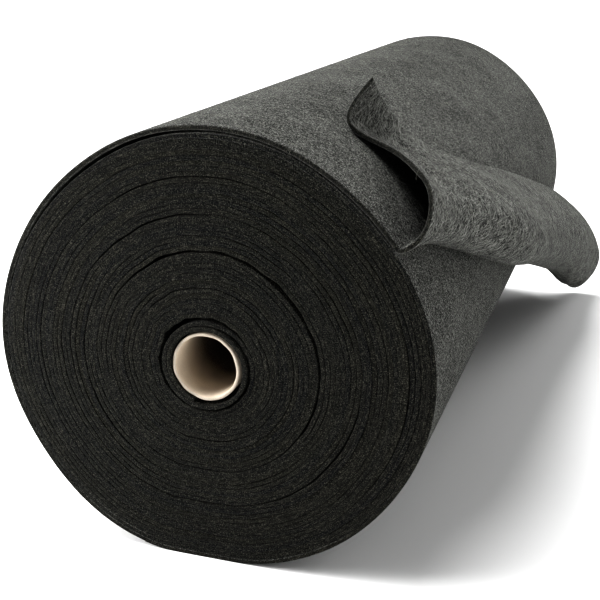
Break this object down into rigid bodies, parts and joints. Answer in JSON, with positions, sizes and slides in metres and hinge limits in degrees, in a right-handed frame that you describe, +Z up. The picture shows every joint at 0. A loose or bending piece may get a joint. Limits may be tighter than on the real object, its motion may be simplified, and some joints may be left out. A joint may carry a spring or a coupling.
{
  "type": "roll of welding blanket",
  "caption": "Heavy roll of thick dark needled felt on a cardboard core, lying on its side, with its loose end folded back on itself.",
  "frame": {"origin": "on the surface that the roll lies on, under the middle of the roll's axis", "axes": "+Y along the roll's axis towards its back end, +X to the right seen from the front end, +Z up"},
  "size_m": [0.6547, 1.2429, 0.5743],
  "materials": {
    "felt": "matte needled felt, almost black, with a fine light speckle and short stray fibres",
    "cardboard": "matte brown board, paler on the cut edge"
  },
  "bodies": {
    "root": {"wound_roll": "felt", "loose_end": "felt", "core": "cardboard"}
  },
  "joints": []
}
